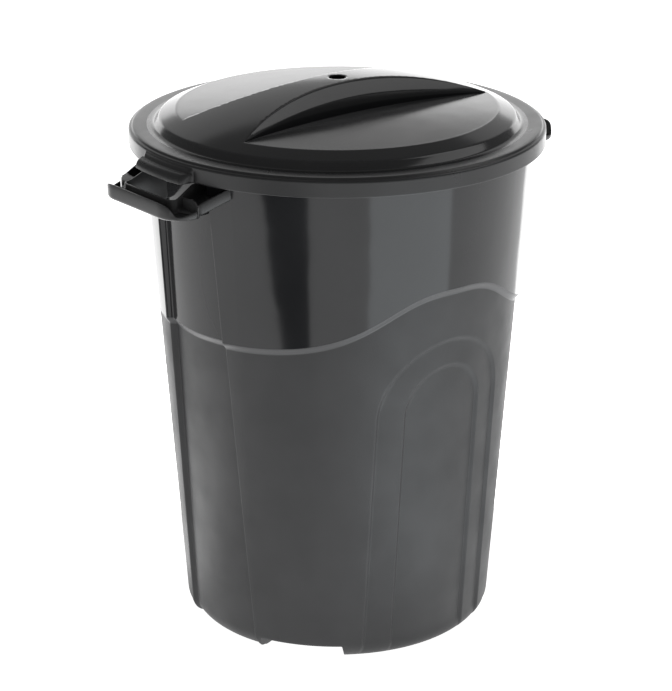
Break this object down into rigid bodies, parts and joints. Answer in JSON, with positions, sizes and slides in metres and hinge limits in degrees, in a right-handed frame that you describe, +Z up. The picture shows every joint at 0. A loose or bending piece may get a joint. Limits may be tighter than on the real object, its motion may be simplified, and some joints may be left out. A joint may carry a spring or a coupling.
{
  "type": "refuse can with lid",
  "caption": "Round tapered plastic refuse can with channel side handles, wave and arch relief, and a lift-off domed lid with a raised grip bar and side hoods.",
  "frame": {"origin": "centre of the base on the floor, under the middle of the overall box", "axes": "+Z up through the tub and lid, +X towards the right handle and along the lid's grip bar, -Y towards the front arched panel"},
  "size_m": [0.6602, 0.5606, 0.7629],
  "materials": {
    "tub_plastic": "fine moulded texture below the wave, smooth and glossy above it",
    "lid_plastic": "smooth semi-gloss moulded plastic"
  },
  "bodies": {
    "tub": {"tub": "tub_plastic", "left_handle": "tub_plastic", "right_handle": "tub_plastic"},
    "lid": {"lid": "lid_plastic"}
  },
  "joints": [
    {"name": "lid_lift", "type": "slide", "parent": "tub", "child": "lid", "axis": [0, 0, 1], "range_m": [0, 0.4]}
  ]
}
